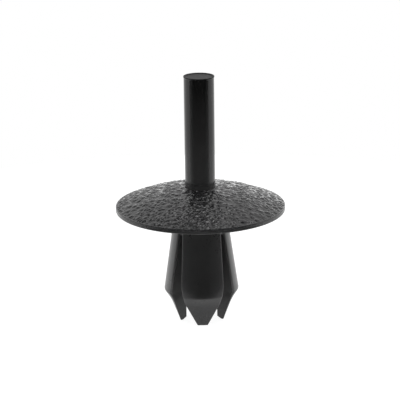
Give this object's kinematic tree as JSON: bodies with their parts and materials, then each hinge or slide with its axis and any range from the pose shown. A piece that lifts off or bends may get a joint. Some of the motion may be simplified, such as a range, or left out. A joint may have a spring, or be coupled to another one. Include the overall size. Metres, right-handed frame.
{
  "type": "plastic push rivet",
  "caption": "Black plastic push rivet: wide domed head, splayed snap-in legs, and a drive pin that is pushed in to lock it in a panel.",
  "frame": {"origin": "middle of the head's seat, the flat ring under the rim that lies on the panel", "axes": "+Z along the drive pin, out of the head; the four legs point along +X, +Y, -X and -Y"},
  "size_m": [0.02, 0.02, 0.0297],
  "materials": {
    "grained_black": "black moulded nylon, leather grain on the head's top, fine matt texture on the legs",
    "satin_black": "black moulded nylon, smooth satin"
  },
  "bodies": {
    "body": {"rivet_body": "grained_black"},
    "pin": {"drive_pin": "satin_black"}
  },
  "joints": [
    {"name": "pin_drive", "type": "slide", "parent": "body", "child": "pin", "axis": [0, 0, -1], "range_m": [0, 0.01329]}
  ]
}
